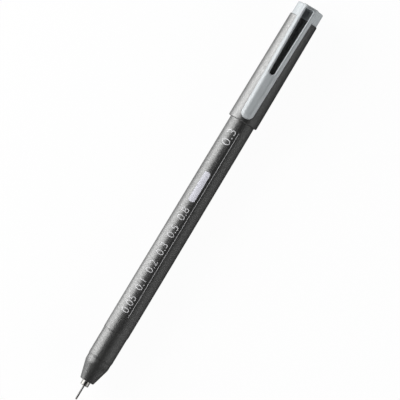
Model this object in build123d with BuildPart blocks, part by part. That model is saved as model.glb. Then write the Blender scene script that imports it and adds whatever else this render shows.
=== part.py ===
"""Fineliner pen with its pull-off cap posted on the rear of the barrel.

The pen lies along X with its writing point towards -X and its clip upwards, and the cap's rim rests on
the plane Z = 0. Lengths along the pen are stations, counted from the writing point. All sizes are in mm.
"""

import os
from math import atan2, tan

from build123d import *

# Lengths along the pen, from the writing point to the end of the cap
nib_reach = 0.2
tube_reach = 5.35
collar_reach = 1.85
cone_length = 6.7
shoulder_length = 1.8
grip_length = 10.55
barrel_length = 98.55
posted_depth = 13.75
cap_tube_length = 40.95
head_length = 4.8

# Clearances between pieces that fit each other, all on the radius
seat_clearance = 0.02
posting_clearance = 0.08
wrap_clearance = 0.15
guide_clearance = 0.1

# Barrel
barrel_diameter = 9.46
barrel_draft = 0.14
barrel_wall = 0.85
barrel_parallel_length = 24.0
barrel_bevel_length = 0.75
barrel_bevel_depth = 0.13

# Front section
front_step = 0.15
grip_draft = 0.02
grip_bevel_length = 0.85
shoulder_drop = 0.145
shoulder_blend_radius = 4.0
nose_diameter = 5.16
nose_edge_radius = 0.25
front_spigot_length = 7.0
front_spigot_wall = 0.8

# Writing tip
tube_diameter = 0.7
tube_wall = 0.15
tube_seat_length = 1.6
collar_diameter = 3.0
collar_stem_length = 5.0
collar_edge_radius = 0.25
nib_diameter = 1.6
nib_step_gap = 0.1
nib_point_share = 0.8
guide_length = 6.0

# Ink store
wrap_thickness = 0.12
reservoir_gap = 0.5
nib_dip = 5.0

# Tail plug
tail_flange = 1.2
tail_spigot_length = 5.0
tail_edge_radius = 0.5
tail_inset = 0.05

# Cap tube
cap_rim_wall = 0.77
cap_top_wall = 0.79
cap_bore_step = 0.23
posting_gap = 0.4
cap_rim_edge_radius = 0.35
cap_top_edge_radius = 0.2

# Seal liner
inner_cap_wall = 0.7
inner_cap_end = 0.8
inner_cap_chamfer = 0.3

# End plug of the cap
head_inset = 0.32
head_spigot_length = 6.2
head_spigot_wall = 1.2
head_core_floor = 1.2
head_edge_radius = 0.4

# Clip
clip_gap = 0.6
clip_thickness = 2.0
clip_root_width = 6.0
clip_tip_width = 4.5
clip_setback = 1.4
clip_edge_radius = 1.8
pad_blend_radius = 0.35
clip_blade_length = 17.45
clip_bump_radius = 1.2
clip_bump_height = 0.3
slot_end_wall = 1.1
slot_root_width = 2.9
slot_tip_width = 1.9
slot_corner_radius = 0.5
slot_edge_radius = 0.4

# Shares that keep a rounding inside the wall or width that carries it, or tell the slot's rim from its foot
edge_share = 0.6
clip_round_share = 0.9
slot_rim_share = 0.25
round_end_share = 0.94
bump_round_share = 0.85

# Stations along the pen
tube_front = nib_reach
collar_front = tube_front + tube_reach
nose_front = collar_front + collar_reach
shoulder_front = nose_front + cone_length
grip_front = shoulder_front + shoulder_length
grip_bevel_rear = grip_front + grip_bevel_length
barrel_front = grip_front + grip_length
barrel_rear = barrel_front + barrel_length
tail_end = barrel_rear + tail_flange
cap_rim = barrel_rear - posted_depth
cap_top = cap_rim + cap_tube_length
cap_end = cap_top + head_length

tube_rear = collar_front + tube_seat_length
collar_rear = nose_front + collar_stem_length
guide_rear = collar_rear + guide_length
front_spigot_rear = barrel_front + front_spigot_length
bevel_rear = barrel_front + barrel_bevel_length
parallel_rear = bevel_rear + barrel_parallel_length
tail_spigot_front = barrel_rear - tail_spigot_length
reservoir_front = front_spigot_rear + reservoir_gap
reservoir_rear = tail_spigot_front - reservoir_gap
nib_rear = reservoir_front + nib_dip
cap_bore_end = tail_end + posting_gap
head_spigot_front = cap_top - head_spigot_length
clip_tip = cap_rim + clip_setback
slot_tip = clip_tip + clip_blade_length
slot_end = cap_end - slot_end_wall


def between(station, first, first_value, last, last_value):
    """Value at a station on the straight line from one station's value to another's."""
    return first_value + (last_value - first_value) * (station - first) / (last - first)


# Radii of the pen body
barrel_radius = barrel_diameter / 2
barrel_rear_radius = barrel_radius - barrel_draft
barrel_bore = barrel_rear_radius - barrel_wall
grip_rear_radius = barrel_radius - front_step
grip_front_radius = grip_rear_radius - grip_draft
shoulder_radius = grip_front_radius - shoulder_drop
nose_radius = nose_diameter / 2
cone_angle = atan2(shoulder_radius - nose_radius, cone_length)
shoulder_blend = min(shoulder_blend_radius, edge_share * shoulder_length / tan(cone_angle / 2))
front_spigot_radius = barrel_bore - seat_clearance
front_cavity_radius = front_spigot_radius - front_spigot_wall
tube_radius = tube_diameter / 2
tube_bore = tube_radius - tube_wall
point_radius = tube_bore - seat_clearance
collar_radius = collar_diameter / 2
nib_radius = nib_diameter / 2
wrap_radius = barrel_bore - wrap_clearance
wrap_bore = wrap_radius - wrap_thickness
reservoir_radius = wrap_bore - seat_clearance
tail_radius = barrel_rear_radius - tail_inset

# Radii of the cap, whose mouth slides over the drafted rear of the barrel
barrel_radius_at_rim = between(cap_rim, parallel_rear, barrel_radius, barrel_rear, barrel_rear_radius)
cap_mouth_bore = barrel_radius_at_rim + posting_clearance
cap_upper_bore = cap_mouth_bore - cap_bore_step
cap_rim_radius = cap_mouth_bore + cap_rim_wall
cap_top_radius = cap_upper_bore + cap_top_wall
inner_cap_radius = cap_upper_bore - seat_clearance
inner_cap_bore = inner_cap_radius - inner_cap_wall
head_radius = cap_top_radius - head_inset
head_spigot_radius = cap_upper_bore - seat_clearance
head_core_radius = head_spigot_radius - head_spigot_wall
head_core_end = cap_top - head_core_floor

# Heights of the clip above the pen's axis, and the roundings of its edges
clip_underside = cap_top_radius + clip_gap
clip_face = clip_underside + clip_thickness
clip_edge = min(clip_edge_radius, clip_round_share * min(clip_thickness, clip_tip_width / 2))
head_edge = min(head_edge_radius, edge_share * slot_end_wall)
slot_edge = min(slot_edge_radius, edge_share * min(clip_thickness, slot_end_wall - head_edge))


def clip_half_width(station):
    """Half the clip's width at a station, from its root at the cap's end to its tip."""
    return between(station, cap_end, clip_root_width, clip_tip, clip_tip_width) / 2


def slot_half_width(station):
    """Half the slot's width at a station, from the cap's end to the slot's round end."""
    return between(station, slot_end, slot_root_width, slot_tip, slot_tip_width) / 2


def rims_slot(edge):
    """Does the edge lie flat, near the height of the clip's face?"""
    extent = edge.bounding_box().size
    rim_level = axis_height + clip_face - slot_rim_share * clip_thickness
    return extent.Z < extent.X + extent.Y and edge.center().Z > rim_level


# The pen's axis, the half section beside it, and planes along the clip
pen_start = -cap_end / 2
axis_height = cap_rim_radius
pen_axis = Axis((0, 0, axis_height), (1, 0, 0))
half_section = Plane(origin=(pen_start, 0, axis_height), x_dir=(1, 0, 0), z_dir=(0, -1, 0))
axis_level = Plane(origin=(pen_start, 0, axis_height))
clip_face_level = axis_level.offset(clip_face)
clip_underside_level = axis_level.offset(clip_underside)

# Barrel: a tube with a bevelled front edge, a parallel stretch and then a draft to the rear
with BuildPart() as barrel:
    with BuildSketch(half_section):
        with BuildLine():
            Polyline(
                (barrel_front, barrel_bore),
                (barrel_front, barrel_radius - barrel_bevel_depth),
                (bevel_rear, barrel_radius),
                (parallel_rear, barrel_radius),
                (barrel_rear, barrel_rear_radius),
                (barrel_rear, barrel_bore),
                close=True,
            )
        make_face()
    revolve(axis=pen_axis)

# Front section: cone, shoulder and grip outside, with seats for the collar, nib and barrel
with BuildPart() as front_section:
    with BuildSketch(half_section) as front_outline:
        with BuildLine():
            Polyline(
                (nose_front, collar_radius + seat_clearance),
                (nose_front, nose_radius),
                (shoulder_front, shoulder_radius),
                (grip_front, shoulder_radius),
                (grip_bevel_rear, grip_front_radius),
                (barrel_front, grip_rear_radius),
                (barrel_front, front_spigot_radius),
                (front_spigot_rear, front_spigot_radius),
                (front_spigot_rear, front_cavity_radius),
                (guide_rear, front_cavity_radius),
                (guide_rear, nib_radius + guide_clearance),
                (collar_rear, nib_radius + guide_clearance),
                (collar_rear, collar_radius + seat_clearance),
                close=True,
            )
        make_face()
        shoulder_corner = front_outline.vertices().sort_by_distance((shoulder_front, shoulder_radius))[0]
        fillet(shoulder_corner, radius=shoulder_blend)
    revolve(axis=pen_axis)
    nose_wall = nose_radius - collar_radius - seat_clearance
    nose_edge = front_section.edges().group_by(Axis.X)[0].sort_by(SortBy.LENGTH)[-1]
    fillet(nose_edge, radius=min(nose_edge_radius, edge_share * nose_wall))

# Tip collar: a sleeve with a narrow seat for the tube and a wider bore for the nib
with BuildPart() as tip_collar:
    with BuildSketch(half_section):
        with BuildLine():
            Polyline(
                (collar_front, tube_radius + seat_clearance),
                (collar_front, collar_radius),
                (collar_rear, collar_radius),
                (collar_rear, nib_radius + seat_clearance),
                (tube_rear, nib_radius + seat_clearance),
                (tube_rear, tube_radius + seat_clearance),
                close=True,
            )
        make_face()
    revolve(axis=pen_axis)
    collar_wall = collar_radius - tube_radius - seat_clearance
    collar_edge = tip_collar.edges().group_by(Axis.X)[0].sort_by(SortBy.LENGTH)[-1]
    fillet(collar_edge, radius=min(collar_edge_radius, edge_share * collar_wall))

# Tip tube: the thin writing tube, seated in the collar
with BuildPart() as tip_tube:
    with BuildSketch(half_section):
        with BuildLine():
            Polyline(
                (tube_front, tube_bore),
                (tube_front, tube_radius),
                (tube_rear, tube_radius),
                (tube_rear, tube_bore),
                close=True,
            )
        make_face()
    revolve(axis=pen_axis)

# Nib: a fibre rod that steps down to the writing point in front and dips into the ink store behind
with BuildPart() as nib:
    nib_step = tube_rear + nib_step_gap
    with BuildSketch(half_section):
        with BuildLine():
            Polyline(
                (0, 0),
                (0, point_radius),
                (nib_step, point_radius),
                (nib_step, nib_radius),
                (nib_rear, nib_radius),
                (nib_rear, 0),
                close=True,
            )
        make_face()
    revolve(axis=pen_axis)
    point_edge = nib.edges().filter_by(GeomType.CIRCLE).sort_by(Axis.X)[0]
    fillet(point_edge, radius=nib_point_share * point_radius)

# Ink reservoir: a fibre rod with a blind hole that takes the nib
with BuildPart() as ink_reservoir:
    with BuildSketch(half_section):
        with BuildLine():
            Polyline(
                (reservoir_front, nib_radius + seat_clearance),
                (reservoir_front, reservoir_radius),
                (reservoir_rear, reservoir_radius),
                (reservoir_rear, 0),
                (nib_rear, 0),
                (nib_rear, nib_radius + seat_clearance),
                close=True,
            )
        make_face()
    revolve(axis=pen_axis)

# Reservoir wrap: the film sleeve round the fibre rod
with BuildPart() as reservoir_wrap:
    with BuildSketch(half_section):
        with BuildLine():
            Polyline(
                (reservoir_front, wrap_bore),
                (reservoir_front, wrap_radius),
                (reservoir_rear, wrap_radius),
                (reservoir_rear, wrap_bore),
                close=True,
            )
        make_face()
    revolve(axis=pen_axis)

# Tail plug: a flange that closes the barrel, on a spigot in its bore
with BuildPart() as tail_plug:
    tail_spigot_radius = barrel_bore - seat_clearance
    with BuildSketch(half_section):
        with BuildLine():
            Polyline(
                (tail_spigot_front, 0),
                (tail_spigot_front, tail_spigot_radius),
                (barrel_rear, tail_spigot_radius),
                (barrel_rear, tail_radius),
                (tail_end, tail_radius),
                (tail_end, 0),
                close=True,
            )
        make_face()
    revolve(axis=pen_axis)
    tail_edge = tail_plug.edges().filter_by(GeomType.CIRCLE).sort_by(Axis.X)[-1]
    fillet(tail_edge, radius=min(tail_edge_radius, edge_share * tail_flange))

# Cap tube: tapers outside, with a wide mouth for the barrel and a narrower seat above it
with BuildPart() as cap_tube:
    with BuildSketch(half_section):
        with BuildLine():
            Polyline(
                (cap_rim, cap_mouth_bore),
                (cap_rim, cap_rim_radius),
                (cap_top, cap_top_radius),
                (cap_top, cap_upper_bore),
                (cap_bore_end, cap_upper_bore),
                (cap_bore_end, cap_mouth_bore),
                close=True,
            )
        make_face()
    revolve(axis=pen_axis)
    cap_ends = cap_tube.edges().filter_by(GeomType.CIRCLE).group_by(Axis.X)
    rim_edge = cap_ends[0].sort_by(SortBy.LENGTH)[-1]
    top_edge = cap_ends[-1].sort_by(SortBy.LENGTH)[-1]
    fillet(rim_edge, radius=min(cap_rim_edge_radius, edge_share * cap_rim_wall))
    fillet(top_edge, radius=min(cap_top_edge_radius, edge_share * cap_top_wall))

# Inner cap: the closed liner that seals round the nose when the cap is on the tip
with BuildPart() as inner_cap:
    inner_cap_floor = head_spigot_front - inner_cap_end
    with BuildSketch(half_section):
        with BuildLine():
            Polyline(
                (cap_bore_end, inner_cap_bore),
                (cap_bore_end, inner_cap_radius),
                (head_spigot_front, inner_cap_radius),
                (head_spigot_front, 0),
                (inner_cap_floor, 0),
                (inner_cap_floor, inner_cap_bore),
                close=True,
            )
        make_face()
    revolve(axis=pen_axis)
    mouth_edges = inner_cap.edges().filter_by(GeomType.CIRCLE).group_by(Axis.X)[0]
    mouth_edge = mouth_edges.sort_by(SortBy.LENGTH)[0]
    chamfer(mouth_edge, length=min(inner_cap_chamfer, edge_share * inner_cap_wall))

# Clip head: the end plug, its cored spigot, and the pad that carries the clip, with the slot's top
with BuildPart() as clip_head:
    with BuildSketch(half_section):
        with BuildLine():
            Polyline(
                (head_spigot_front, head_core_radius),
                (head_spigot_front, head_spigot_radius),
                (cap_top, head_spigot_radius),
                (cap_top, head_radius),
                (cap_end, head_radius),
                (cap_end, 0),
                (head_core_end, 0),
                (head_core_end, head_core_radius),
                close=True,
            )
        make_face()
    revolve(axis=pen_axis)
    with BuildSketch(clip_face_level):
        with BuildLine():
            Polyline(
                (cap_top, clip_half_width(cap_top)),
                (cap_end, clip_half_width(cap_end)),
                (cap_end, -clip_half_width(cap_end)),
                (cap_top, -clip_half_width(cap_top)),
                close=True,
            )
        make_face()
    extrude(amount=-clip_face)
    pad_flanks = clip_head.faces().filter_by(GeomType.PLANE).sort_by(Axis.Y)
    pad_roots = [pad_flanks[side].edges().sort_by(Axis.Z)[0] for side in (0, -1)]
    fillet(pad_roots, radius=min(pad_blend_radius, edge_share * clip_gap))
    pad_face = clip_head.faces().sort_by(Axis.Z)[-1]
    pad_sides = pad_face.edges().sort_by(Axis.Y)
    fillet([pad_sides[0], pad_sides[-1]], radius=clip_edge)
    end_face = clip_head.faces().sort_by(Axis.X)[-1]
    fillet(end_face.outer_wire().edges(), radius=head_edge)
    with BuildSketch(clip_face_level) as pocket_outline:
        with BuildLine():
            Polyline(
                (cap_top, slot_half_width(cap_top)),
                (slot_end, slot_half_width(slot_end)),
                (slot_end, -slot_half_width(slot_end)),
                (cap_top, -slot_half_width(cap_top)),
                close=True,
            )
        make_face()
        pocket_corners = pocket_outline.vertices().group_by(Axis.X)[-1]
        fillet(pocket_corners, radius=min(slot_corner_radius, edge_share * slot_half_width(slot_end)))
    extrude(amount=-clip_thickness, mode=Mode.SUBTRACT)
    fillet(clip_head.edges(Select.LAST).filter_by(rims_slot), radius=slot_edge)

# Clip arm: a tapered blade with a round tip, the lower part of the slot, and a grip bump underneath
with BuildPart() as clip_arm:
    with BuildSketch(clip_face_level) as arm_outline:
        with BuildLine():
            Polyline(
                (cap_top, clip_half_width(cap_top)),
                (clip_tip, clip_half_width(clip_tip)),
                (clip_tip, -clip_half_width(clip_tip)),
                (cap_top, -clip_half_width(cap_top)),
                close=True,
            )
        make_face()
        tip_corners = arm_outline.vertices().group_by(Axis.X)[0]
        fillet(tip_corners, radius=round_end_share * clip_half_width(clip_tip))
    extrude(amount=-clip_thickness)
    face_edges = clip_arm.faces().sort_by(Axis.Z)[-1].edges()
    root_edge = face_edges.sort_by(Axis.X)[-1]
    fillet(face_edges - [root_edge], radius=clip_edge)
    with BuildSketch(clip_face_level) as slot_outline:
        with BuildLine():
            Polyline(
                (cap_top, slot_half_width(cap_top)),
                (slot_tip, slot_half_width(slot_tip)),
                (slot_tip, -slot_half_width(slot_tip)),
                (cap_top, -slot_half_width(cap_top)),
                close=True,
            )
        make_face()
        slot_corners = slot_outline.vertices().group_by(Axis.X)[0]
        fillet(slot_corners, radius=round_end_share * slot_half_width(slot_tip))
    extrude(amount=-clip_thickness, mode=Mode.SUBTRACT)
    fillet(clip_arm.edges(Select.LAST).filter_by(rims_slot), radius=slot_edge)
    with BuildSketch(clip_underside_level):
        with Locations((clip_tip + clip_half_width(clip_tip), 0)):
            Circle(clip_bump_radius)
    extrude(amount=-clip_bump_height)
    bump_edge = clip_arm.faces().sort_by(Axis.Z)[0].outer_wire().edges()
    fillet(bump_edge, radius=bump_round_share * clip_bump_height)

pieces = {
    "barrel": barrel,
    "front_section": front_section,
    "tip_collar": tip_collar,
    "tip_tube": tip_tube,
    "nib": nib,
    "ink_reservoir": ink_reservoir,
    "reservoir_wrap": reservoir_wrap,
    "tail_plug": tail_plug,
    "cap_tube": cap_tube,
    "inner_cap": inner_cap,
    "clip_head": clip_head,
    "clip_arm": clip_arm,
}

os.makedirs("parts", exist_ok=True)
for name, piece in pieces.items():
    piece.part.label = name
    export_step(piece.part, f"parts/{name}.step")
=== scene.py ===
"""Looks of a fineliner pen with its cap posted: finishes, printed marks, a clip cut into slices, and a
studio.

The frame holds the pen along X, with its writing point towards -X and its clip upwards. Lengths are metres
in that frame, and millimetres where a comment says so. The file is laid out as an add-on and is run as a
script.
"""

import math
from collections import namedtuple

import bpy
from bpy.props import FloatProperty, FloatVectorProperty, IntProperty, PointerProperty, StringProperty
from bpy.types import Operator, Panel, PropertyGroup
from mathutils import Matrix, Vector


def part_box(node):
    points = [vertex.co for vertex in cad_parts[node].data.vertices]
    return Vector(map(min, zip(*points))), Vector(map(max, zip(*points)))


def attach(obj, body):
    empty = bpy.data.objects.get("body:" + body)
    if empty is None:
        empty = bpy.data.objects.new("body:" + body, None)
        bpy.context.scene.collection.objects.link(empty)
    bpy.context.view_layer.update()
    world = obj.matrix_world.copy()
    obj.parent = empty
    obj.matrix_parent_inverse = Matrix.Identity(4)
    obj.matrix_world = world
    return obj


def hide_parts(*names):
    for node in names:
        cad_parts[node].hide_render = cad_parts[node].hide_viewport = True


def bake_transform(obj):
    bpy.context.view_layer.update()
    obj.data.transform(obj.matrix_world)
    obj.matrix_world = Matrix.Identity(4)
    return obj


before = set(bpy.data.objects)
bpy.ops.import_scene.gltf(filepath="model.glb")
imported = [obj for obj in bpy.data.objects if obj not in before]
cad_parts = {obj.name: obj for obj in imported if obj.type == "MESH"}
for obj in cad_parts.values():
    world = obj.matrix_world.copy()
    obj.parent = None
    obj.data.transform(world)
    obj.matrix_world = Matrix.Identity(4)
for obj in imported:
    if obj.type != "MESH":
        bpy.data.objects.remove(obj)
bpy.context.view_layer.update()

bl_info = {
    "name": "Fineliner pen looks",
    "version": (1, 0, 0),
    "blender": (4, 5, 0),
    "location": "3D View > Sidebar > Pen",
    "description": "Finishes, printed marks, bending clip and studio for a fineliner pen on its frame",
    "category": "Object",
}

MM = 0.001

# Places that the frame gives
barrel_low, barrel_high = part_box("barrel")
arm_low, arm_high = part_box("clip_arm")
head_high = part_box("clip_head")[1]
cap_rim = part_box("cap_tube")[0].x
barrel_front = barrel_low.x
axis_height = (barrel_low.z + barrel_high.z) / 2


# Settings that a user would change


def length_setting(name, description, length):
    """A length, given in millimetres and kept in metres."""
    return FloatProperty(
        name=name, description=description, default=length * MM, precision=5,
        unit="LENGTH", subtype="DISTANCE",
    )


def colour_setting(name, description, colour):
    """A linear colour."""
    return FloatVectorProperty(
        name=name, description=description, default=colour, size=3, min=0, max=1, subtype="COLOR"
    )


def share_setting(name, description, share):
    """A share from 0 to 1."""
    return FloatProperty(name=name, description=description, default=share, min=0, max=1, subtype="FACTOR")


def radiance_setting(name, description, radiance):
    """Brightness of a light's face, where 1 looks white."""
    return FloatProperty(name=name, description=description, default=radiance, min=0, soft_max=10)


class PenFinish(PropertyGroup):
    """Colours of the pen's materials."""

    pearl_dark: colour_setting("Pearl ground", "Plastic between the pearl flakes", (0.165, 0.166, 0.165))
    pearl_light: colour_setting("Pearl flake", "Brightest flakes in the plastic", (0.420, 0.421, 0.416))
    cap_dark: colour_setting("Cap ground", "Plastic between the flakes of the cap", (0.205, 0.206, 0.205))
    cap_light: colour_setting("Cap flake", "Brightest flakes in the cap", (0.500, 0.501, 0.496))
    clip_grey: colour_setting("Clip", "Light grey plastic of the clip and cap's end", (0.385, 0.410, 0.422))
    clip_shade: colour_setting("Clip shade", "Darker cloud in that plastic", (0.355, 0.377, 0.389))
    collar_metal: colour_setting("Collar", "Polished metal of the tip collar", (0.500, 0.490, 0.468))
    collar_ring: colour_setting("Collar ring", "Turning rings in that metal", (0.420, 0.411, 0.391))
    tube_steel: colour_setting("Tube", "Drawn steel of the writing tube", (0.330, 0.326, 0.320))
    tube_line: colour_setting("Tube line", "Drawing lines in that steel", (0.220, 0.217, 0.213))
    ink_black: colour_setting("Nib", "Inked fibre of the nib", (0.014, 0.014, 0.015))
    ink_fibre: colour_setting("Nib fibre", "Drier fibres of the nib", (0.050, 0.050, 0.052))
    store_ink: colour_setting("Reservoir", "Inked fibre of the reservoir", (0.026, 0.026, 0.030))
    store_fibre: colour_setting("Reservoir fibre", "Drier fibres of the reservoir", (0.120, 0.120, 0.128))
    film_clear: colour_setting("Film", "Film sleeve round the reservoir", (0.800, 0.820, 0.840))
    film_haze: colour_setting("Film haze", "Clouded patches of that film", (0.690, 0.710, 0.735))
    liner_milk: colour_setting("Liner", "Milky plastic of the inner cap", (0.750, 0.750, 0.730))
    liner_shade: colour_setting("Liner shade", "Darker cloud in that plastic", (0.660, 0.660, 0.640))
    print_light: colour_setting("Print", "Ink of the marks where it lies thick", (0.620, 0.620, 0.630))
    print_thin: colour_setting("Thin print", "Ink of the marks where it lies thin", (0.440, 0.440, 0.450))
    label_light: colour_setting("Label", "Ink of the label where it lies thick", (0.580, 0.580, 0.635))
    label_thin: colour_setting("Thin label", "Ink of the label where it lies thin", (0.500, 0.500, 0.547))


class PenShadePaint(PropertyGroup):
    """Shade painted as a dark colour under the clip, in the pocket of the cap's end and on its wall."""

    # The colour and sizes below are for painted shade: a dark colour laid where the recesses look shaded
    painted_shade: colour_setting("Grime", "Dust and ink in the recesses", (0.030, 0.030, 0.031))
    clip_cover: share_setting("Clip cover", "How densely the grime under the clip lies", 0.47)
    clip_inset: length_setting("Clip inset", "From the clip's tip to the start of that grime", 4.0)
    clip_overlap: length_setting("Clip overlap", "From the clip's root to the end of that grime", 1.0)
    clip_half_width: length_setting("Clip half width", "From the pen's middle to that grime's edge", 2.0)
    pocket_cover: share_setting("Pocket cover", "How densely the grime in the pocket lies", 0.42)
    pocket_end: length_setting("Pocket end", "From the end of that grime to the cap's end", 1.4)
    pocket_half_width: length_setting("Pocket half width", "From the pen's middle to that grime's edge", 1.6)
    pocket_depth: length_setting("Pocket depth", "From the pocket's edge down to that grime", 0.5)
    wall_cover: share_setting("Wall cover", "How densely the grime on the pocket's end wall lies", 0.50)
    wall_length: length_setting("Wall length", "From the start of that grime to the cap's end", 1.3)
    wall_half_width: length_setting("Wall half width", "From the pen's middle to that grime's edge", 1.4)
    wall_depth: length_setting("Wall depth", "How far that grime reaches down from the wall's top", 1.0)


class PenPrint(PropertyGroup):
    """Sizes and places of the marks printed on the barrel."""

    ink_height: length_setting("Ink height", "How far the ink stands out of the barrel", 0.02)
    ink_root: length_setting("Ink root", "How far the ink reaches into the barrel", 0.015)
    slice_width: length_setting("Slice width", "Width of the slices that follow the barrel's curve", 0.3)
    slice_length: length_setting("Slice length", "Length of the slices that follow the barrel's draft", 3.0)
    line_inset: length_setting("Line inset", "From the barrel's front to the start of the line", 7.1)
    line_gap: length_setting("Line gap", "From the end of the line to the cap's rim", 4.05)
    line_width: length_setting("Line width", "Width of the line", 0.14)
    line_side: length_setting("Line side", "Distance of the line from the middle of the barrel", 1.03)
    number_text: StringProperty(name="Number", description="Width of the pen's line in mm", default="0.3")
    number_gap: length_setting("Number gap", "From the end of the number to the cap's rim", 4.0)
    number_length: length_setting("Number length", "Length of the number along the barrel", 5.8)
    number_height: length_setting("Number height", "Height of the number's figures", 2.9)
    mark_base: length_setting("Mark base", "Side of the barrel that the figures stand on", -0.1)
    label_inset: length_setting("Label inset", "From the barrel's front to the label", 52.3)
    label_length: length_setting("Label length", "Length of the label along the barrel", 11.7)
    label_base: length_setting("Label base", "Side of the barrel that the label stands on", 0.0)
    label_height: length_setting("Label height", "Height of the label", 2.34)
    label_corner: length_setting("Label corner", "Radius of the label's corners", 0.9)
    row_text: StringProperty(
        name="Row", description="Usual line widths in mm, from thin to thick",
        default="0.05  0.1  0.2  0.3  0.5  0.8",
    )
    row_inset: length_setting("Row inset", "From the barrel's front to the row of widths", 8.15)
    row_length: length_setting("Row length", "Length of the row along the barrel", 41.5)
    row_height: length_setting("Row height", "Height of the row's figures", 2.7)
    stroke_trim: FloatProperty(
        name="Stroke trim",
        description="How much the strokes are thinned, as a share of the figures' height",
        default=0.014, min=0, max=0.03,
    )


class PenClip(PropertyGroup):
    """How the clip bends."""

    bend_length: length_setting("Bend length", "Stretch next to the root that takes up the bending", 12.0)
    slices: IntProperty(name="Slices", description="Slices that let the clip bend", default=32, min=4)


class PenStudio(PropertyGroup):
    """Camera, floor and lights. A card shows only in gloss, and a wash doesn't show in it."""

    lens: FloatProperty(
        name="Lens", description="Focal length in mm", default=280, min=20, subtype="DISTANCE_CAMERA"
    )
    field: length_setting("Field", "Width that the picture shows at the pen's axis", 137.6)
    aim_along: length_setting("Aim along", "Place along the pen at the picture's centre", 2.32)
    aim_across: length_setting("Aim across", "Place across the pen at the picture's centre", -1.30)
    turn: FloatProperty(
        name="Turn", description="How far the pen leans from upright in the picture",
        default=math.radians(31.03), subtype="ANGLE",
    )
    floor_colour: colour_setting("Floor", "Pale floor", (0.86, 0.86, 0.86))
    floor_white: share_setting("Floor white", "Share of plain white in the floor that the camera sees", 0.96)
    world_radiance: radiance_setting("World", "Dim room round the studio", 0.01)
    key_radiance: radiance_setting("Key", "Soft box at the pen's bright side", 2.4)
    front_key_radiance: radiance_setting("Front key", "Card over the front of the key", 3.3)
    bounce_radiance: radiance_setting("Bounce", "Card on the floor at the bright side", 1.85)
    front_bounce_radiance: radiance_setting("Front bounce", "Bounce beside the front of the barrel", 2.9)
    grip_bounce_radiance: radiance_setting("Grip bounce", "Bounce beside the front section", 2.9)
    shade_radiance: radiance_setting("Shade", "Card on the floor close to the bright side", 0.5)
    grip_shade_radiance: radiance_setting("Grip shade", "Shade beside the front section", 0.5)
    nose_shade_radiance: radiance_setting("Nose shade", "Shade in front of the writing end", 0.3)
    fill_radiance: radiance_setting("Fill", "Card that stands at the dim side", 0.24)
    front_fill_radiance: radiance_setting("Front fill", "Fill in front of the writing end", 0.05)
    flag_radiance: radiance_setting("Flag", "Card on the floor at the dim side", 0.15)
    dim_shade_radiance: radiance_setting("Dim shade", "Cards close to the dim side", 0.045)
    tip_radiance: radiance_setting("Tip", "Card that stands beside the collar", 2.3)
    tip_flag_radiance: radiance_setting("Tip flag", "Card that keeps the tip card off the grip", 0.32)
    bright_wash: radiance_setting("Bright wash", "Low light at the bright side", 5.6)
    dim_wash: radiance_setting("Dim wash", "Low light at the dim side", 4.5)
    front_wash: radiance_setting("Front wash", "Low light at the writing end", 1.6)


# Shader helpers

# The range of a share, the one that most values of a noise lie in, and a narrower one for clearer patches
SHARE = (0, 1)
NOISE_RANGE = (0.3, 0.7)
PATCH_RANGE = (0.35, 0.65)


def add_node(tree, kind, **options):
    """A new node with its options."""
    node = tree.nodes.new(kind)
    for name, value in options.items():
        setattr(node, name, value)
    return node


def add_noise(tree, vector, **values):
    """A noise texture fed with coordinates, with values for its sockets."""
    noise = add_node(tree, "ShaderNodeTexNoise")
    tree.links.new(vector, noise.inputs["Vector"])
    for label, value in values.items():
        noise.inputs[label].default_value = value
    return noise


def start_material(name):
    """A new material, its tree and its Principled shader."""
    material = bpy.data.materials.new(name)
    material.use_nodes = True
    tree = material.node_tree
    tree.nodes.clear()
    output = add_node(tree, "ShaderNodeOutputMaterial")
    shader = add_node(tree, "ShaderNodeBsdfPrincipled")
    tree.links.new(shader.outputs["BSDF"], output.inputs["Surface"])
    return material, tree, shader


def millimetres(tree, stretch=(1, 1, 1)):
    """The piece's own coordinates in millimetres, stretched along each axis."""
    place = add_node(tree, "ShaderNodeTexCoord")
    mapping = add_node(tree, "ShaderNodeMapping")
    mapping.inputs["Scale"].default_value = [factor / MM for factor in stretch]
    tree.links.new(place.outputs["Object"], mapping.inputs["Vector"])
    return mapping.outputs["Vector"]


def spread(tree, value, target, source=SHARE):
    """Stretches a value from a source range to a target range, and keeps it there."""
    node = add_node(tree, "ShaderNodeMapRange")
    labels = ("From Min", "From Max", "To Min", "To Max")
    for label, limit in zip(labels, (*source, *target)):
        node.inputs[label].default_value = limit
    tree.links.new(value, node.inputs["Value"])
    return node.outputs["Result"]


def combine(tree, operation, *values):
    """One value from others, by a math operation."""
    node = add_node(tree, "ShaderNodeMath", operation=operation)
    for socket, value in zip(node.inputs, values):
        if isinstance(value, (int, float)):
            socket.default_value = value
        else:
            tree.links.new(value, socket)
    return node.outputs["Value"]


def blend_colours(tree, share, first, second):
    """A colour between two, by a value that changes over the surface. The first may change over it too."""
    node = add_node(tree, "ShaderNodeMix", data_type="RGBA")
    colours = [socket for socket in node.inputs if socket.type == "RGBA"]
    if isinstance(first, bpy.types.NodeSocket):
        tree.links.new(first, colours[0])
    else:
        colours[0].default_value = (*first, 1)
    colours[1].default_value = (*second, 1)
    tree.links.new(share, node.inputs["Factor"])
    return [socket for socket in node.outputs if socket.type == "RGBA"][0]


def raise_surface(tree, shader, height, depth):
    """Bumps the shader's normal by a height map of that depth."""
    bump = add_node(tree, "ShaderNodeBump")
    bump.inputs["Strength"].default_value = 1
    bump.inputs["Distance"].default_value = depth
    tree.links.new(height, bump.inputs["Height"])
    tree.links.new(bump.outputs["Normal"], shader.inputs["Normal"])


# Effects that materials share, each a shader group

# How strongly the brightest pearl flakes stand out
FLAKE_CONTRAST = 2.5
# How the painted shade's density varies, and the widths in millimetres over which it ends
PAINTED_SHADE_RANGE = (0.8, 1.2)
END_FADE = 0.6
SIDE_FADE = 0.4


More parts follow.
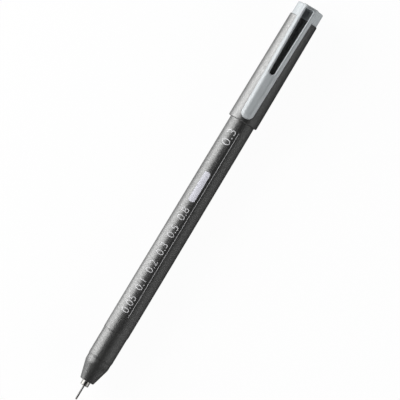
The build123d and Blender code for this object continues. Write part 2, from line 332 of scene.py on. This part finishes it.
def fill_grain(tree, start, end):
    """Fine even grain of a moulded or rubbed surface."""
    noise = add_noise(tree, start["Vector"], Detail=3, Roughness=0.6)
    tree.links.new(start["Grains per mm"], noise.inputs["Scale"])
    tree.links.new(spread(tree, noise.outputs["Fac"], SHARE, NOISE_RANGE), end["Grain"])


def fill_flakes(tree, start, end):
    """Pearl flakes of random brightness, and the slow clouds in which they lie denser."""
    cells = add_node(tree, "ShaderNodeTexVoronoi")
    split = add_node(tree, "ShaderNodeSeparateColor")
    tree.links.new(start["Vector"], cells.inputs["Vector"])
    tree.links.new(start["Flakes per mm"], cells.inputs["Scale"])
    tree.links.new(cells.outputs["Color"], split.inputs["Color"])
    tree.links.new(combine(tree, "POWER", split.outputs["Red"], FLAKE_CONTRAST), end["Flake"])
    cloud = add_noise(tree, start["Vector"], Scale=0.8, Detail=4)
    tree.links.new(spread(tree, cloud.outputs["Fac"], SHARE, NOISE_RANGE), end["Cloud"])


def fill_handling(tree, start, end):
    """Slow patches where fingers have polished or smeared a surface."""
    noise = add_noise(tree, start["Vector"], Scale=0.16, Detail=5, Distortion=0.6)
    tree.links.new(spread(tree, noise.outputs["Fac"], SHARE, PATCH_RANGE), end["Smear"])


def fill_painted_shade(tree, start, end):
    """Uneven painted shade in a recess that runs along the pen, with the recess's bounds in millimetres."""
    split = add_node(tree, "ShaderNodeSeparateXYZ")
    tree.links.new(start["Vector"], split.inputs["Vector"])
    along, across, up = split.outputs
    noise = add_noise(tree, start["Vector"], Scale=1.5, Detail=4)
    density = spread(tree, noise.outputs["Fac"], PAINTED_SHADE_RANGE, NOISE_RANGE)
    painted_shade = combine(tree, "MULTIPLY", start["Cover"], density)
    edges = (
        (along, start["Front"], END_FADE),
        (start["Rear"], along, END_FADE),
        (start["Half width"], combine(tree, "ABSOLUTE", across), SIDE_FADE),
        (up, start["Bottom"], SIDE_FADE),
        (start["Top"], up, SIDE_FADE),
    )
    for larger, smaller, fade in edges:
        inside = combine(tree, "SUBTRACT", larger, smaller)
        painted_shade = combine(tree, "MULTIPLY", painted_shade, spread(tree, inside, SHARE, (0, fade)))
    tree.links.new(painted_shade, end["Grime"])


# What fills each group, its values beside the coordinates, and its results
GROUPS = {
    "Moulded grain": (fill_grain, ["Grains per mm"], ["Grain"]),
    "Pearl flakes": (fill_flakes, ["Flakes per mm"], ["Flake", "Cloud"]),
    "Handling marks": (fill_handling, [], ["Smear"]),
    # The recess group paints shade into recesses as a dark colour
    "Recess grime": (fill_painted_shade, ["Front", "Rear", "Half width", "Bottom", "Top", "Cover"], ["Grime"]),
}


def shader_group(name):
    """The shader group of that name, made when it is first asked for."""
    if name not in bpy.data.node_groups:
        fill, values, results = GROUPS[name]
        tree = bpy.data.node_groups.new(name, "ShaderNodeTree")
        tree.interface.new_socket("Vector", in_out="INPUT", socket_type="NodeSocketVector")
        for label in values:
            tree.interface.new_socket(label, in_out="INPUT", socket_type="NodeSocketFloat")
        for label in results:
            tree.interface.new_socket(label, in_out="OUTPUT", socket_type="NodeSocketFloat")
        fill(tree, add_node(tree, "NodeGroupInput").outputs, add_node(tree, "NodeGroupOutput").inputs)
    return bpy.data.node_groups[name]


def place_group(tree, name, vector, values):
    """Puts a shader group into a material, fed with coordinates and values, and gives its results."""
    node = add_node(tree, "ShaderNodeGroup", node_tree=shader_group(name))
    tree.links.new(vector, node.inputs["Vector"])
    for label, value in values.items():
        node.inputs[label].default_value = value
    return node.outputs


# Materials

# Surfaces: grains per millimetre, roughness where smooth and where dull, and the depth of the grain
Surface = namedtuple("Surface", "grains smooth dull depth")
PEARL = Surface(grains=5, smooth=0.36, dull=0.42, depth=0.004 * MM)
LIGHT_GREY = Surface(grains=4, smooth=0.28, dull=0.36, depth=0.004 * MM)
COLLAR = Surface(grains=8, smooth=0.28, dull=0.36, depth=0.001 * MM)
TUBE = Surface(grains=12, smooth=0.30, dull=0.42, depth=0.001 * MM)
NIB = Surface(grains=14, smooth=0.65, dull=0.90, depth=0.020 * MM)
RESERVOIR = Surface(grains=6, smooth=0.65, dull=0.90, depth=0.020 * MM)
FILM = Surface(grains=2, smooth=0.08, dull=0.20, depth=0)
LINER = Surface(grains=3, smooth=0.38, dull=0.50, depth=0.005 * MM)
INK = Surface(grains=7, smooth=0.45, dull=0.62, depth=0.003 * MM)

# Stretch of the grain into rings round the pen, lines along it and strands along it
TURNED_RINGS = (1, 0.02, 0.02)
DRAWN_LINES = (0.03, 1, 1)
STRANDS = (0.05, 1, 1)

# Pearl flakes per millimetre, and their density from thin to thick clouds
FLAKES_PER_MM = 9
CLOUD_RANGE = (0.75, 1)
# How metallic the pearl is, from its ground to its brightest flakes
BARREL_METAL = (0.885, 0.95)
CAP_METAL = (0.955, 0.99)

# How far handling changes the roughness, from polished to smeared
PEARL_POLISH = (-0.015, 0.015)
CLIP_POLISH = (-0.03, 0.03)


def roughen(tree, shader, vector, surface, polish=None):
    """Gives a shader a surface's roughness and bump, changed by polish, and returns the grain."""
    grain = place_group(tree, "Moulded grain", vector, {"Grains per mm": surface.grains})["Grain"]
    rough = spread(tree, grain, (surface.smooth, surface.dull))
    if polish is not None:
        rough = combine(tree, "ADD", rough, polish)
    tree.links.new(rough, shader.inputs["Roughness"])
    if surface.depth:
        raise_surface(tree, shader, grain, surface.depth)
    return grain


def lay_painted_shade(tree, vector, colour, painted_shade_colour, recess):
    """Paints shade over a colour where a recess is, as a dark colour."""
    painted_shade = place_group(tree, "Recess grime", vector, recess)["Grime"]
    return blend_colours(tree, painted_shade, colour, painted_shade_colour)


def under_clip(shade_paint):
    """The recess between the cap and the clip, where shade is painted, in millimetres."""
    return {
        "Front": (arm_low.x + shade_paint.clip_inset) / MM,
        "Rear": (arm_high.x + shade_paint.clip_overlap) / MM,
        "Half width": shade_paint.clip_half_width / MM,
        "Bottom": axis_height / MM,
        "Top": arm_high.z / MM,
        "Cover": shade_paint.clip_cover,
    }


def end_pocket(shade_paint):
    """The pocket in the cap's end, where shade is painted, in millimetres."""
    return {
        "Front": arm_high.x / MM,
        "Rear": (head_high.x - shade_paint.pocket_end) / MM,
        "Half width": shade_paint.pocket_half_width / MM,
        "Bottom": axis_height / MM,
        "Top": (head_high.z - shade_paint.pocket_depth) / MM,
        "Cover": shade_paint.pocket_cover,
    }


def end_wall(shade_paint):
    """The top of the wall that ends that pocket, where shade is painted, in millimetres."""
    return {
        "Front": (head_high.x - shade_paint.wall_length) / MM,
        "Rear": head_high.x / MM,
        "Half width": shade_paint.wall_half_width / MM,
        "Bottom": (head_high.z - shade_paint.wall_depth) / MM,
        "Top": (head_high.z + shade_paint.wall_depth) / MM,
        "Cover": shade_paint.wall_cover,
    }


def pearl_plastic(name, ground, flake, metal, painted_shade_colour=None, recess=None):
    """Dark satin plastic with fine metallic pearl, polished a little by handling."""
    material, tree, shader = start_material(name)
    vector = millimetres(tree)
    flakes = place_group(tree, "Pearl flakes", vector, {"Flakes per mm": FLAKES_PER_MM})
    smear = place_group(tree, "Handling marks", vector, {})["Smear"]
    density = combine(tree, "MULTIPLY", flakes["Flake"], spread(tree, flakes["Cloud"], CLOUD_RANGE))
    colour = blend_colours(tree, density, ground, flake)
    # Where a recess is given, shade is painted into the colour there
    if recess:
        colour = lay_painted_shade(tree, vector, colour, painted_shade_colour, recess)
    tree.links.new(colour, shader.inputs["Base Color"])
    tree.links.new(spread(tree, flakes["Flake"], metal), shader.inputs["Metallic"])
    roughen(tree, shader, vector, PEARL, spread(tree, smear, PEARL_POLISH))
    return material


def clip_plastic(finish, shade_paint):
    """Light grey satin plastic, with shade painted in the pocket of the cap's end and on its end wall."""
    material, tree, shader = start_material("light_grey_plastic")
    vector = millimetres(tree)
    smear = place_group(tree, "Handling marks", vector, {})["Smear"]
    colour = blend_colours(tree, smear, finish.clip_grey, finish.clip_shade)
    # The pocket and its end wall get painted shade
    for recess in (end_pocket(shade_paint), end_wall(shade_paint)):
        colour = lay_painted_shade(tree, vector, colour, shade_paint.painted_shade, recess)
    tree.links.new(colour, shader.inputs["Base Color"])
    shader.inputs["Specular IOR Level"].default_value = 0.8
    roughen(tree, shader, vector, LIGHT_GREY, spread(tree, smear, CLIP_POLISH))
    return material


def lined_metal(name, colour, line_colour, stretch, surface):
    """Metal with fine lines that run the way the coordinates are stretched."""
    material, tree, shader = start_material(name)
    line = roughen(tree, shader, millimetres(tree, stretch), surface)
    tree.links.new(blend_colours(tree, line, colour, line_colour), shader.inputs["Base Color"])
    shader.inputs["Metallic"].default_value = 1
    return material


def bonded_fibre(name, ink_colour, fibre_colour, surface):
    """Bonded fibres that run along the pen, soaked with ink."""
    material, tree, shader = start_material(name)
    strands = roughen(tree, shader, millimetres(tree, STRANDS), surface)
    smear = place_group(tree, "Handling marks", millimetres(tree), {})["Smear"]
    dry = combine(tree, "MULTIPLY", strands, smear)
    tree.links.new(blend_colours(tree, dry, ink_colour, fibre_colour), shader.inputs["Base Color"])
    return material


def cloudy_plastic(name, colour, cloud_colour, surface):
    """Plastic with slow clouds, and its shader, which is then told how it lets light through."""
    material, tree, shader = start_material(name)
    vector = millimetres(tree)
    smear = place_group(tree, "Handling marks", vector, {})["Smear"]
    tree.links.new(blend_colours(tree, smear, colour, cloud_colour), shader.inputs["Base Color"])
    roughen(tree, shader, vector, surface)
    return material, shader


def film_sleeve(finish):
    """Clear film with a slight haze."""
    material, shader = cloudy_plastic("clear_film", finish.film_clear, finish.film_haze, FILM)
    shader.inputs["Transmission Weight"].default_value = 0.85
    return material


def milky_plastic(finish):
    """Milky plastic that lets a little light in."""
    material, shader = cloudy_plastic("liner_plastic", finish.liner_milk, finish.liner_shade, LINER)
    shader.inputs["Subsurface Weight"].default_value = 0.2
    shader.inputs["Subsurface Scale"].default_value = 0.5 * MM
    return material


def printed_ink(name, thick_colour, thin_colour):
    """Matt printing ink whose cover is a little uneven, made when it is first asked for."""
    if name in bpy.data.materials:
        return bpy.data.materials[name]
    material, tree, shader = start_material(name)
    grain = roughen(tree, shader, millimetres(tree), INK)
    tree.links.new(blend_colours(tree, grain, thick_colour, thin_colour), shader.inputs["Base Color"])
    return material


def mark_ink(finish):
    """The ink that the line, the number and the row of widths share."""
    return printed_ink("print_ink", finish.print_light, finish.print_thin)


# Modelling helpers

ALONG = Vector((1, 0, 0))
ACROSS = Vector((0, 1, 0))
# How far above the barrel a mark is drawn before it is pressed on
MARK_LIFT = 1 * MM
# Points between the corners of a figure's curves, and faces round a corner of the label
FIGURE_STEPS = 6
CORNER_STEPS = 8
# Edges below these angles look smooth
INK_SMOOTH = math.radians(40)
CLIP_SMOOTH = math.radians(30)
# Corners closer than this are one
MERGE_DISTANCE = 0.001 * MM


def select_only(piece):
    """Selects one object and makes it the active one."""
    bpy.ops.object.select_all(action="DESELECT")
    piece.select_set(True)
    bpy.context.view_layer.objects.active = piece


def dress(piece, material):
    """Gives a piece one material."""
    piece.data.materials.clear()
    piece.data.materials.append(material)


def dress_nodes(material, *names):
    """Gives the frame's nodes of those names one material."""
    for name in names:
        dress(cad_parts[name], material)


def apply_modifiers(piece):
    """Applies the piece's modifiers in order."""
    select_only(piece)
    for modifier in list(piece.modifiers):
        bpy.ops.object.modifier_apply(modifier=modifier.name)


def settle(piece):
    """Puts the piece's place, turn and size into its mesh."""
    select_only(piece)
    bpy.ops.object.transform_apply(location=True, rotation=True, scale=True)


def cut_between(piece, axis, low, high, count):
    """Cuts across all faces of the piece, so that the stretch from low to high has that count of slices."""
    select_only(piece)
    bpy.ops.object.mode_set(mode="EDIT")
    for i in range(1, count):
        bpy.ops.mesh.select_all(action="SELECT")
        bpy.ops.mesh.bisect(plane_co=axis * (low + (high - low) * i / count), plane_no=axis)
    bpy.ops.object.mode_set(mode="OBJECT")


def add_plane(name, place, length, width):
    """A flat rectangle at a place, with its length along the pen."""
    bpy.ops.object.select_all(action="DESELECT")
    bpy.ops.mesh.primitive_plane_add(size=1, location=place)
    plane = bpy.context.active_object
    plane.name = name
    plane.scale = (length, width, 1)
    return plane


def flat_bar(name, start, length, base, height):
    """A flat bar above the barrel: its start and length along the pen, and its base and height across it."""
    centre = (start + length / 2, base + height / 2, barrel_high.z + MARK_LIFT)
    bar = add_plane(name, centre, length, height)
    settle(bar)
    return bar


def flat_text(name, body, start, length, base, height, trim):
    """Flat figures above the barrel, stretched to a length and height, with their strokes thinned."""
    bpy.ops.object.select_all(action="DESELECT")
    bpy.ops.object.text_add(location=(0, 0, 0))
    text = bpy.context.active_object
    text.name = name
    text.data.body = body
    text.data.resolution_u = FIGURE_STEPS
    text.data.offset = -trim
    bpy.ops.object.convert(target="MESH")
    text = bpy.context.active_object
    corners = [Vector(corner) for corner in text.bound_box]
    low = Vector(min(corner[i] for corner in corners) for i in range(3))
    high = Vector(max(corner[i] for corner in corners) for i in range(3))
    along = length / (high.x - low.x)
    up = height / (high.y - low.y)
    text.scale = (along, up, 1)
    text.location = (start - low.x * along, base - low.y * up, barrel_high.z + MARK_LIFT)
    settle(text)
    return text


def lay_on_barrel(piece, sizes, material):
    """Presses a flat mark onto the barrel as a thin layer of ink, which then rides with the pen."""
    for axis, step in ((ALONG, sizes.slice_length), (ACROSS, sizes.slice_width)):
        places = [axis.dot(vertex.co) for vertex in piece.data.vertices]
        low, high = min(places), max(places)
        cut_between(piece, axis, low, high, math.ceil((high - low) / step))
    wrap = piece.modifiers.new("press", "SHRINKWRAP")
    wrap.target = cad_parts["barrel"]
    wrap.wrap_method = "PROJECT"
    wrap.use_project_z = True
    wrap.use_negative_direction = True
    wrap.use_positive_direction = False
    wrap.offset = -sizes.ink_root
    layer = piece.modifiers.new("layer", "SOLIDIFY")
    layer.thickness = sizes.ink_root + sizes.ink_height
    layer.offset = 1
    apply_modifiers(piece)
    bpy.ops.object.shade_smooth_by_angle(angle=INK_SMOOTH)
    dress(piece, material)
    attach(piece, "pen")


# Pieces


class PEN_OT_dress_body(Operator):
    """Finish the barrel, the front section, the tail plug and the cap's tube"""

    bl_idname = "pen.dress_body"
    bl_label = "Finish the body and cap"

    def execute(self, context):
        finish = context.scene.pen_finish
        shade_paint = context.scene.pen_wear
        pearl = pearl_plastic("pearl_grey_plastic", finish.pearl_dark, finish.pearl_light, BARREL_METAL)
        dress_nodes(pearl, "barrel", "front_section", "tail_plug")
        # The cap's tube gets shade painted under the clip
        cap_pearl = pearl_plastic(
            "cap_pearl_plastic", finish.cap_dark, finish.cap_light, CAP_METAL, shade_paint.painted_shade, under_clip(shade_paint)
        )
        dress_nodes(cap_pearl, "cap_tube")
        return {"FINISHED"}


class PEN_OT_dress_tip(Operator):
    """Finish the collar, the writing tube and the nib"""

    bl_idname = "pen.dress_tip"
    bl_label = "Finish the tip"

    def execute(self, context):
        finish = context.scene.pen_finish
        metal = lined_metal("tip_metal", finish.collar_metal, finish.collar_ring, TURNED_RINGS, COLLAR)
        dress_nodes(metal, "tip_collar")
        steel = lined_metal("tip_steel", finish.tube_steel, finish.tube_line, DRAWN_LINES, TUBE)
        dress_nodes(steel, "tip_tube")
        inked = bonded_fibre("inked_fibre", finish.ink_black, finish.ink_fibre, NIB)
        dress_nodes(inked, "nib")
        return {"FINISHED"}


class PEN_OT_dress_ink_store(Operator):
    """Finish the reservoir and the film round it"""

    bl_idname = "pen.dress_ink_store"
    bl_label = "Finish the ink store"

    def execute(self, context):
        finish = context.scene.pen_finish
        store = bonded_fibre("reservoir_fibre", finish.store_ink, finish.store_fibre, RESERVOIR)
        dress_nodes(store, "ink_reservoir")
        dress_nodes(film_sleeve(finish), "reservoir_wrap")
        return {"FINISHED"}


class PEN_OT_dress_liner(Operator):
    """Finish the liner inside the cap"""

    bl_idname = "pen.dress_liner"
    bl_label = "Finish the liner"

    def execute(self, context):
        dress_nodes(milky_plastic(context.scene.pen_finish), "inner_cap")
        return {"FINISHED"}


class PEN_OT_add_clip(Operator):
    """Finish the cap's end, and put in place of the clip a copy of it that is cut into slices"""

    bl_idname = "pen.add_clip"
    bl_label = "Add the clip"

    def execute(self, context):
        clip = context.scene.pen_clip
        material = clip_plastic(context.scene.pen_finish, context.scene.pen_wear)
        dress_nodes(material, "clip_head")
        blade = bpy.data.objects.new("clip_blade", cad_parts["clip_arm"].data.copy())
        context.scene.collection.objects.link(blade)
        select_only(blade)
        bpy.ops.mesh.customdata_custom_splitnormals_clear()
        bpy.ops.object.mode_set(mode="EDIT")
        bpy.ops.mesh.select_all(action="SELECT")
        bpy.ops.mesh.remove_doubles(threshold=MERGE_DISTANCE)
        bpy.ops.object.mode_set(mode="OBJECT")
        cut_between(blade, ALONG, arm_low.x, arm_high.x, clip.slices)
        bpy.ops.object.shade_smooth_by_angle(angle=CLIP_SMOOTH)
        dress(blade, material)
        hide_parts("clip_arm")
        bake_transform(blade)
        return {"FINISHED"}


class PEN_OT_print_line(Operator):
    """Print the long thin line on the barrel"""

    bl_idname = "pen.print_line"
    bl_label = "Print the line"

    def execute(self, context):
        sizes = context.scene.pen_print
        start = barrel_front + sizes.line_inset
        length = cap_rim - sizes.line_gap - start
        base = -sizes.line_side - sizes.line_width / 2
        line = flat_bar("guide_line", start, length, base, sizes.line_width)
        lay_on_barrel(line, sizes, mark_ink(context.scene.pen_finish))
        return {"FINISHED"}


class PEN_OT_print_number(Operator):
    """Print the width of the pen's line on the barrel"""

    bl_idname = "pen.print_number"
    bl_label = "Print the number"

    def execute(self, context):
        sizes = context.scene.pen_print
        start = cap_rim - sizes.number_gap - sizes.number_length
        number = flat_text(
            "size_number", sizes.number_text, start, sizes.number_length,
            sizes.mark_base, sizes.number_height, sizes.stroke_trim,
        )
        lay_on_barrel(number, sizes, mark_ink(context.scene.pen_finish))
        return {"FINISHED"}


class PEN_OT_print_label(Operator):
    """Print the blank label on the barrel"""

    bl_idname = "pen.print_label"
    bl_label = "Print the label"

    def execute(self, context):
        sizes = context.scene.pen_print
        finish = context.scene.pen_finish
        start = barrel_front + sizes.label_inset
        label = flat_bar("blank_label", start, sizes.label_length, sizes.label_base, sizes.label_height)
        bpy.ops.object.mode_set(mode="EDIT")
        bpy.ops.mesh.select_all(action="SELECT")
        bpy.ops.mesh.bevel(offset=sizes.label_corner, segments=CORNER_STEPS, affect="VERTICES")
        bpy.ops.object.mode_set(mode="OBJECT")
        lay_on_barrel(label, sizes, printed_ink("label_ink", finish.label_light, finish.label_thin))
        return {"FINISHED"}


class PEN_OT_print_row(Operator):
    """Print the row of usual line widths on the barrel"""

    bl_idname = "pen.print_row"
    bl_label = "Print the row of widths"

    def execute(self, context):
        sizes = context.scene.pen_print
        row = flat_text(
            "width_row", sizes.row_text, barrel_front + sizes.row_inset, sizes.row_length,
            sizes.mark_base, sizes.row_height, sizes.stroke_trim,
        )
        lay_on_barrel(row, sizes, mark_ink(context.scene.pen_finish))
        return {"FINISHED"}


# Studio

FLOOR_RADIUS = 1.2
FLOOR_CORNERS = 128
FLOOR_DROP = 0.02 * MM
# Steps in which the floor's rim sweeps up: how far each rises, and how far the rim grows
BACKDROP = ((0.02, 1.15), (0.06, 1.1), (0.12, 1.05), (0.2, 1.02))

# Heights in millimetres at which lying cards are stacked
LOW = 0.1
MIDDLE = 0.2
HIGH = 0.3

# Cards: the setting for their light, their ends along the pen, their two edges as places across the pen and
# up, and their turn about their middle. Lengths are millimetres and turns degrees.
Card = namedtuple("Card", "name light along near far turn", defaults=(0,))
CARDS = (
    Card("bounce_card", "bounce_radiance", along=(-10, 300), near=(20, LOW), far=(300, LOW)),
    Card("front_bounce_card", "front_bounce_radiance", along=(-52, -10), near=(20, LOW), far=(300, LOW)),
    Card("grip_bounce_card", "grip_bounce_radiance", along=(-70, -52), near=(24, LOW), far=(300, LOW)),
    Card("shade_card", "shade_radiance", along=(-75, 125), near=(3, MIDDLE), far=(14.5, MIDDLE), turn=3.6),
    Card("grip_shade_card", "grip_shade_radiance", along=(-85, -52), near=(3, HIGH), far=(14.5, HIGH)),
    Card("nose_shade_card", "nose_shade_radiance", along=(-160, -85), near=(8, LOW), far=(300, LOW)),
    Card("front_key_card", "front_key_radiance", along=(-140, -35), near=(290, 5), far=(290, 120)),
    Card("flag_card", "flag_radiance", along=(-900, 300), near=(-900, LOW), far=(-18, LOW)),
    Card("dim_shade_card", "dim_shade_radiance", along=(-900, 300), near=(-18, LOW), far=(-3, LOW)),
    Card("nose_flag_card", "front_fill_radiance", along=(-900, -85), near=(-300, MIDDLE), far=(-3, MIDDLE)),
    Card("fill_card", "fill_radiance", along=(-80, 300), near=(-300, LOW), far=(-300, 360)),
    Card("front_fill_card", "front_fill_radiance", along=(-900, -80), near=(-300, LOW), far=(-300, 360)),
    Card("tip_card", "tip_radiance", along=(-78.5, -67.5), near=(-60, 1), far=(-60, 60)),
    Card("tip_flag_card", "tip_flag_radiance", along=(-85, -47), near=(-39, LOW), far=(-39, 60), turn=90),
    Card("near_flag_card", "dim_shade_radiance", along=(-73, -59), near=(-13, LOW), far=(-13, 60), turn=90),
)

# Lamps: the setting for their light, their place, what they are turned to, their width and height, and
# whether they show in gloss. Lengths are millimetres.
Lamp = namedtuple("Lamp", "name light place aim size mirrored")
PEN_MIDDLE = (0, 0, axis_height / MM)
LAMPS = (
    Lamp("key", "key_radiance", place=(20, 300, 175), aim=(20, 0, 175), size=(420, 340), mirrored=True),
    Lamp("bright_wash", "bright_wash", place=(0, 570, 200), aim=PEN_MIDDLE, size=(600, 400), mirrored=False),
    Lamp("dim_wash", "dim_wash", place=(0, -570, 200), aim=PEN_MIDDLE, size=(600, 400), mirrored=False),
    Lamp("front_wash", "front_wash", place=(-570, 0, 100), aim=PEN_MIDDLE, size=(600, 400), mirrored=False),
)

# What the camera shows begins at its distance divided by this, and ends at its distance times this
CAMERA_REACH = 100


def floor_material(studio):
    """Pale floor that looks white to the camera and in mirrors, and keeps the object's shadow."""
    material, tree, shader = start_material("studio_floor")
    shader.inputs["Base Color"].default_value = (*studio.floor_colour, 1)
    shader.inputs["Roughness"].default_value = 0.9
    shader.inputs["Specular IOR Level"].default_value = 0.1
    path = add_node(tree, "ShaderNodeLightPath")
    seen = combine(tree, "MAXIMUM", path.outputs["Is Camera Ray"], path.outputs["Is Glossy Ray"])
    seen = combine(tree, "MAXIMUM", seen, path.outputs["Is Transmission Ray"])
    share = combine(tree, "MULTIPLY", seen, studio.floor_white)
    white = add_node(tree, "ShaderNodeEmission")
    mix = add_node(tree, "ShaderNodeMixShader")
    tree.links.new(share, mix.inputs["Fac"])
    tree.links.new(shader.outputs["BSDF"], mix.inputs[1])
    tree.links.new(white.outputs["Emission"], mix.inputs[2])
    tree.links.new(mix.outputs["Shader"], tree.nodes["Material Output"].inputs["Surface"])
    return material


def add_floor(studio):
    """A round floor whose rim sweeps up to a low backdrop."""
    bpy.ops.object.select_all(action="DESELECT")
    bpy.ops.mesh.primitive_circle_add(
        vertices=FLOOR_CORNERS, radius=FLOOR_RADIUS, fill_type="NGON", location=(0, 0, -FLOOR_DROP)
    )
    floor = bpy.context.active_object
    floor.name = "studio_floor"
    settle(floor)
    bpy.ops.object.mode_set(mode="EDIT")
    for rise, growth in BACKDROP:
        bpy.ops.mesh.select_mode(type="EDGE")
        bpy.ops.mesh.select_all(action="DESELECT")
        bpy.ops.mesh.select_non_manifold()
        bpy.ops.mesh.extrude_edges_move(TRANSFORM_OT_translate={"value": (0, 0, rise)})
        bpy.ops.transform.resize(value=(growth, growth, 1))
    bpy.ops.object.mode_set(mode="OBJECT")
    bpy.ops.object.shade_smooth()
    dress(floor, floor_material(studio))


def add_card(card, radiance):
    """A card that shows only in gloss."""
    start, end = (place * MM for place in card.along)
    near, far = (Vector(edge) * MM for edge in (card.near, card.far))
    span = far - near
    plane = add_plane(card.name, ((start + end) / 2, *((near + far) / 2)), end - start, span.length)
    plane.rotation_euler = (math.atan2(span.y, span.x), 0, math.radians(card.turn))
    settle(plane)
    material, _, shader = start_material(card.name)
    shader.inputs["Base Color"].default_value = (0, 0, 0, 1)
    shader.inputs["Specular IOR Level"].default_value = 0
    shader.inputs["Emission Color"].default_value = (1, 1, 1, 1)
    shader.inputs["Emission Strength"].default_value = radiance
    dress(plane, material)
    plane.visible_camera = False
    plane.visible_diffuse = False
    plane.visible_shadow = False
    plane.visible_transmission = False


def add_lamp(lamp, radiance):
    """A rectangular light whose face has that radiance."""
    place, aim = (Vector(point) * MM for point in (lamp.place, lamp.aim))
    width, height = (side * MM for side in lamp.size)
    bpy.ops.object.select_all(action="DESELECT")
    bpy.ops.object.light_add(type="AREA", location=place)
    light = bpy.context.active_object
    light.name = lamp.name
    light.rotation_euler = (aim - place).to_track_quat("-Z", "Y").to_euler()
    light.data.shape = "RECTANGLE"
    light.data.size = width
    light.data.size_y = height
    light.data.energy = radiance * math.pi * width * height
    light.visible_camera = False
    light.visible_glossy = lamp.mirrored


def set_world(context, radiance):
    """A dim even room."""
    world = bpy.data.worlds.new("studio_room")
    world.use_nodes = True
    background = world.node_tree.nodes["Background"]
    background.inputs["Color"].default_value = (1, 1, 1, 1)
    background.inputs["Strength"].default_value = radiance
    context.scene.world = world


def add_camera(studio):
    """The camera, straight above the pen, turned so that the pen leans as in the picture."""
    sine, cosine = math.sin(studio.turn), math.cos(studio.turn)
    right = Vector((sine, -cosine, 0))
    up = Vector((cosine, sine, 0))
    back = right.cross(up)
    bpy.ops.object.select_all(action="DESELECT")
    bpy.ops.object.camera_add()
    camera = bpy.context.active_object
    camera.data.lens = studio.lens
    distance = studio.field * studio.lens / camera.data.sensor_width
    aim = Vector((studio.aim_along, studio.aim_across, axis_height))
    turned = Matrix((right, up, back)).transposed().to_4x4()
    camera.matrix_world = Matrix.Translation(aim + back * distance) @ turned
    camera.data.clip_start = distance / CAMERA_REACH
    camera.data.clip_end = distance * CAMERA_REACH
    bpy.context.scene.camera = camera


class PEN_OT_set_stage(Operator):
    """Set up the floor, the lights and the camera"""

    bl_idname = "pen.set_stage"
    bl_label = "Set the stage"

    def execute(self, context):
        studio = context.scene.pen_studio
        add_floor(studio)
        for card in CARDS:
            add_card(card, getattr(studio, card.light))
        for lamp in LAMPS:
            add_lamp(lamp, getattr(studio, lamp.light))
        set_world(context, studio.world_radiance)
        context.scene.view_settings.view_transform = "Standard"
        add_camera(studio)
        return {"FINISHED"}


class PEN_PT_looks(Panel):
    """Lists the pen's pieces and settings."""

    bl_idname = "PEN_PT_looks"
    bl_label = "Fineliner pen"
    bl_space_type = "VIEW_3D"
    bl_region_type = "UI"
    bl_category = "Pen"

    def draw(self, context):
        for operator in operators:
            self.layout.operator(operator.bl_idname)
        for group in settings:
            box = self.layout.box()
            values = getattr(context.scene, group)
            for name in settings[group].__annotations__:
                box.prop(values, name)


operators = (
    PEN_OT_dress_body,
    PEN_OT_dress_tip,
    PEN_OT_dress_ink_store,
    PEN_OT_dress_liner,
    PEN_OT_add_clip,
    PEN_OT_print_line,
    PEN_OT_print_number,
    PEN_OT_print_label,
    PEN_OT_print_row,
    PEN_OT_set_stage,
)
settings = {
    "pen_finish": PenFinish,
    "pen_wear": PenShadePaint,
    "pen_print": PenPrint,
    "pen_clip": PenClip,
    "pen_studio": PenStudio,
}


def register():
    """Registers the settings, operators and panel."""
    for name, group in settings.items():
        bpy.utils.register_class(group)
        setattr(bpy.types.Scene, name, PointerProperty(type=group))
    for cls in (*operators, PEN_PT_looks):
        bpy.utils.register_class(cls)


def unregister():
    """Takes them away again."""
    for cls in (PEN_PT_looks, *reversed(operators)):
        bpy.utils.unregister_class(cls)
    for name, group in settings.items():
        delattr(bpy.types.Scene, name)
        bpy.utils.unregister_class(group)


def main():
    """Builds the looks."""
    register()
    bpy.ops.pen.dress_body()
    bpy.ops.pen.dress_tip()
    bpy.ops.pen.dress_ink_store()
    bpy.ops.pen.dress_liner()
    bpy.ops.pen.add_clip()
    bpy.ops.pen.print_line()
    bpy.ops.pen.print_number()
    bpy.ops.pen.print_label()
    bpy.ops.pen.print_row()
    bpy.ops.pen.set_stage()


if __name__ == "__main__":
    main()
